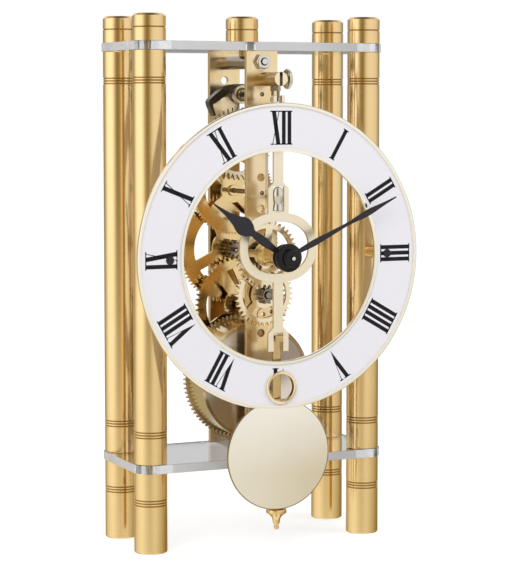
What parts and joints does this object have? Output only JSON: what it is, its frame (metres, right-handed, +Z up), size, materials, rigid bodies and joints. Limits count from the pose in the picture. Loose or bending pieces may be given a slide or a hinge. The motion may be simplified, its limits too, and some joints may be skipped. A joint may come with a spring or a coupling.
{
  "type": "skeleton table clock",
  "caption": "Skeleton table clock: turned gold pillars with clear shelves, white dial ring with Roman numerals, open brass train and a front pendulum.",
  "frame": {"origin": "on the table under the middle of the bounding box", "axes": "+Z up, -Y towards the viewer of the dial, +X to the viewer's right"},
  "size_m": [0.1138, 0.0686, 0.2],
  "materials": {
    "gold": "satin gold plated",
    "acrylic": "clear, polished edges",
    "dial_white": "smooth white, printed numerals, pale gold rims",
    "black": "satin black",
    "plate_brass": "satin, straight grained",
    "wheel_brass": "polished",
    "pale_brass": "polished champagne",
    "nickel": "polished nickel",
    "steel": "dark polished steel"
  },
  "bodies": {
    "case": {"foot_front_left": "gold", "foot_front_right": "gold", "foot_back_left": "gold", "foot_back_right": "gold", "column_front_left": "gold", "column_front_right": "gold", "column_back_left": "gold", "column_back_right": "gold", "cap_front_left": "gold", "cap_front_right": "gold", "cap_back_left": "gold", "cap_back_right": "gold", "cap_center": "gold", "winding_bush": "gold", "dial_post_left": "gold", "dial_post_right": "gold", "lower_shelf": "acrylic", "upper_shelf": "acrylic", "dial": "dial_white", "dial_screw_left": "black", "dial_screw_right": "black", "front_plate": "plate_brass", "back_plate": "plate_brass", "suspension_post": "plate_brass", "suspension_spring": "wheel_brass", "top_pillar": "nickel", "bottom_bar": "nickel", "nut_top": "nickel", "nut_bottom": "nickel", "base_screw": "nickel", "click_screw": "nickel", "click_spring": "steel"},
    "thumb_screw": {"thumb_screw": "nickel"},
    "pendulum": {"pendulum_leader": "pale_brass", "bob_hook": "pale_brass"},
    "bob": {"bob": "pale_brass"},
    "rating_nut": {"rating_nut": "gold"},
    "barrel": {"barrel": "wheel_brass", "barrel_cover": "nickel", "mainspring": "steel"},
    "winding": {"winding_arbor": "steel", "ratchet_wheel": "nickel"},
    "click": {"click": "nickel"},
    "intermediate": {"intermediate_arbor": "steel", "intermediate_wheel": "wheel_brass"},
    "center": {"center_arbor": "steel", "center_wheel": "wheel_brass", "cannon_pinion": "steel", "minute_hand": "black", "hand_nut": "black"},
    "third": {"third_arbor": "steel", "third_wheel": "wheel_brass"},
    "escape": {"escape_arbor": "steel", "escape_wheel": "pale_brass"},
    "pallets": {"pallet_arbor": "wheel_brass", "pallet_anchor": "steel", "crutch": "nickel"},
    "minute": {"minute_wheel": "plate_brass"},
    "hour": {"hour_wheel": "plate_brass", "hour_hand": "black"}
  },
  "joints": [
    {"name": "center_turn", "type": "hinge", "parent": "case", "child": "center", "pos_m": [0, 0.01215, 0.11041], "axis": [0, 1, 0], "continuous": true},
    {"name": "intermediate_turn", "type": "hinge", "parent": "case", "child": "intermediate", "pos_m": [0.0037, 0.01215, 0.08832], "axis": [0, 1, 0], "continuous": true},
    {"name": "barrel_turn", "type": "hinge", "parent": "case", "child": "barrel", "pos_m": [0, 0.01215, 0.0617], "axis": [0, 1, 0], "continuous": true},
    {"name": "third_turn", "type": "hinge", "parent": "case", "child": "third", "pos_m": [0, 0.01215, 0.13329], "axis": [0, 1, 0], "continuous": true},
    {"name": "escape_turn", "type": "hinge", "parent": "case", "child": "escape", "pos_m": [0, 0.01215, 0.15149], "axis": [0, 1, 0], "continuous": true},
    {"name": "minute_wheel_turn", "type": "hinge", "parent": "case", "child": "minute", "pos_m": [0, 0.01215, 0.09511], "axis": [0, 1, 0], "continuous": true},
    {"name": "hour_turn", "type": "hinge", "parent": "case", "child": "hour", "pos_m": [0, 0.01215, 0.11041], "axis": [0, 1, 0], "continuous": true},
    {"name": "pendulum_swing", "type": "hinge", "parent": "case", "child": "pendulum", "pos_m": [0, 0.01215, 0.17039], "axis": [0, 1, 0], "range_deg": [-2.5, 2.5]},
    {"name": "pallets_rock", "type": "hinge", "parent": "case", "child": "pallets", "pos_m": [0, 0.01215, 0.17039], "axis": [0, 1, 0], "range_deg": [-2.5, 2.5]},
    {"name": "rating_turn", "type": "hinge", "parent": "bob", "child": "rating_nut", "pos_m": [0, -0.01915, 0.01534], "axis": [0, 0, 1], "range_deg": [-1095, 1095]},
    {"name": "bob_slide", "type": "slide", "parent": "pendulum", "child": "bob", "axis": [0, 0, 1], "range_m": [-0.0012, 0.0012]},
    {"name": "thumb_screw_turn", "type": "hinge", "parent": "case", "child": "thumb_screw", "pos_m": [0, -0.01825, 0.17599], "axis": [1, 0, 0], "range_deg": [0, 360]},
    {"name": "winding_turn", "type": "hinge", "parent": "case", "child": "winding", "pos_m": [0, 0.01215, 0.0617], "axis": [0, 1, 0], "continuous": true},
    {"name": "click_lift", "type": "hinge", "parent": "case", "child": "click", "pos_m": [-0.0044, 0.01215, 0.0511], "axis": [0, -1, 0], "range_deg": [0, 8]}
  ],
  "couplings": [
    {"joint": "intermediate_turn", "follows": "center_turn", "ratio": -0.16667},
    {"joint": "barrel_turn", "follows": "center_turn", "ratio": 0.02381},
    {"joint": "third_turn", "follows": "center_turn", "ratio": -10},
    {"joint": "escape_turn", "follows": "center_turn", "ratio": 120},
    {"joint": "minute_wheel_turn", "follows": "center_turn", "ratio": -0.33333},
    {"joint": "hour_turn", "follows": "center_turn", "ratio": 0.083333},
    {"joint": "pallets_rock", "follows": "pendulum_swing", "ratio": 1},
    {"joint": "rating_turn", "follows": "bob_slide", "rad_per_m": 15708}
  ]
}
